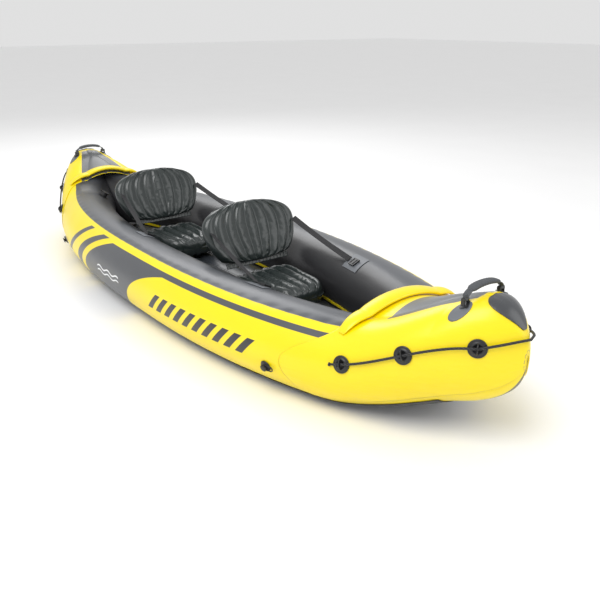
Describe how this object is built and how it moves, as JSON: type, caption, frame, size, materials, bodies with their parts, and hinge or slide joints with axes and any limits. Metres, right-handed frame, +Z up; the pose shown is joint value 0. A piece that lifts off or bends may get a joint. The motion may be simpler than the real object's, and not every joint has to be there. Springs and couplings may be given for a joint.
{
  "type": "inflatable kayak",
  "caption": "Two-seat inflatable kayak with yellow and charcoal air tubes, spray covers at both ends, ribbed folding seats, grab lines and carry handles.",
  "frame": {"origin": "on the ground under the middle of the hull", "axes": "+X towards the bow, +Y towards port, +Z up"},
  "size_m": [3.1194, 0.91, 0.4668],
  "materials": {
    "hull_vinyl": "calendered PVC, satin, charcoal inside with yellow and charcoal printed sides",
    "floor_vinyl": "satin PVC with welded lengthwise beams",
    "bottom_vinyl": "dark, scuff resistant bottom sheet",
    "yellow_vinyl": "bright yellow PVC sheet, satin",
    "cap_vinyl": "thick charcoal abrasion patch",
    "black_rope": "twisted synthetic rope",
    "black_plastic": "injection moulded",
    "patch_vinyl": "welded grey patch",
    "grey_webbing": "ribbed webbing",
    "black_webbing": "flat woven webbing",
    "valve_plastic": "moulded, slightly soft",
    "seat_vinyl": "glossy dark green-grey vinyl over inflated ribs"
  },
  "bodies": {
    "hull": {"port_side_tube": "hull_vinyl", "starboard_side_tube": "hull_vinyl", "inflatable_floor": "floor_vinyl", "bottom_skin": "bottom_vinyl", "floor_seam_strips": "yellow_vinyl", "bow_spray_cover": "yellow_vinyl", "stern_spray_cover": "yellow_vinyl", "bow_coaming_roll": "yellow_vinyl", "stern_coaming_roll": "yellow_vinyl", "bow_tip_cap": "cap_vinyl", "stern_tip_cap": "cap_vinyl", "bow_grab_line": "black_rope", "stern_grab_line": "black_rope", "bow_line_knots": "black_rope", "stern_line_knots": "black_rope", "bow_rope_rings": "black_plastic", "stern_rope_rings": "black_plastic", "cover_tie_hooks": "black_plastic", "cover_tie_loops": "black_rope", "bow_handle_patches": "patch_vinyl", "bow_handle_anchors": "black_plastic", "stern_handle_patches": "patch_vinyl", "stern_handle_anchors": "black_plastic", "front_cushion": "seat_vinyl", "rear_cushion": "seat_vinyl", "front_port_strap": "black_webbing", "front_starboard_strap": "black_webbing", "rear_port_strap": "black_webbing", "rear_starboard_strap": "black_webbing", "strap_patches": "patch_vinyl", "strap_buckles": "black_plastic", "port_valve": "valve_plastic", "starboard_valve": "valve_plastic", "floor_valve": "valve_plastic", "front_cushion_valve": "valve_plastic", "rear_cushion_valve": "valve_plastic", "skeg_bracket": "black_plastic"},
    "front_backrest": {"front_backrest": "seat_vinyl", "front_backrest_valve": "valve_plastic"},
    "rear_backrest": {"rear_backrest": "seat_vinyl", "rear_backrest_valve": "valve_plastic"},
    "bow_handle": {"bow_handle_strap": "grey_webbing", "bow_handle_sleeve": "grey_webbing"},
    "stern_handle": {"stern_handle_strap": "grey_webbing", "stern_handle_sleeve": "grey_webbing"},
    "port_valve_cap": {"port_valve_cap": "valve_plastic"},
    "starboard_valve_cap": {"starboard_valve_cap": "valve_plastic"},
    "floor_valve_cap": {"floor_valve_cap": "valve_plastic"},
    "front_cushion_plug": {"front_cushion_plug": "valve_plastic"},
    "rear_cushion_plug": {"rear_cushion_plug": "valve_plastic"},
    "front_backrest_plug": {"front_backrest_plug": "valve_plastic"},
    "rear_backrest_plug": {"rear_backrest_plug": "valve_plastic"}
  },
  "joints": [
    {"name": "front_backrest_fold", "type": "hinge", "parent": "hull", "child": "front_backrest", "pos_m": [0.29, 0, 0.22074], "axis": [0, 1, 0], "range_deg": [0, 75], "deforming": ["front_port_strap", "front_starboard_strap"]},
    {"name": "front_cushion_plug_open", "type": "hinge", "parent": "hull", "child": "front_cushion_plug", "pos_m": [0.268, 0, 0.16344], "axis": [0, 1, 0], "range_deg": [0, 110]},
    {"name": "front_backrest_plug_open", "type": "hinge", "parent": "front_backrest", "child": "front_backrest_plug", "pos_m": [0.21612, 0, 0.28987], "axis": [0, 1, 0], "range_deg": [0, 110]},
    {"name": "rear_backrest_fold", "type": "hinge", "parent": "hull", "child": "rear_backrest", "pos_m": [-0.515, 0, 0.22074], "axis": [0, 1, 0], "range_deg": [0, 75], "deforming": ["rear_port_strap", "rear_starboard_strap"]},
    {"name": "rear_cushion_plug_open", "type": "hinge", "parent": "hull", "child": "rear_cushion_plug", "pos_m": [-0.537, 0, 0.16344], "axis": [0, 1, 0], "range_deg": [0, 110]},
    {"name": "rear_backrest_plug_open", "type": "hinge", "parent": "rear_backrest", "child": "rear_backrest_plug", "pos_m": [-0.58888, 0, 0.28987], "axis": [0, 1, 0], "range_deg": [0, 110]},
    {"name": "bow_handle_swing", "type": "hinge", "parent": "hull", "child": "bow_handle", "pos_m": [1.391, 0, 0.42923], "axis": [0, 1, 0], "range_deg": [-45, 45]},
    {"name": "stern_handle_swing", "type": "hinge", "parent": "hull", "child": "stern_handle", "pos_m": [-1.391, 0, 0.42923], "axis": [0, 1, 0], "range_deg": [-45, 45]},
    {"name": "port_valve_cap_open", "type": "hinge", "parent": "hull", "child": "port_valve_cap", "pos_m": [-1.0129, 0.10698, 0.29068], "axis": [-0.9414, -0.3371, 0.0113], "range_deg": [0, 110]},
    {"name": "starboard_valve_cap_open", "type": "hinge", "parent": "hull", "child": "starboard_valve_cap", "pos_m": [-1.0129, -0.10698, 0.29068], "axis": [0.9414, -0.3371, -0.0113], "range_deg": [0, 110]},
    {"name": "floor_valve_cap_open", "type": "hinge", "parent": "hull", "child": "floor_valve_cap", "pos_m": [-0.924, 0, 0.11659], "axis": [0, -1, 0], "range_deg": [0, 110]}
  ]
}
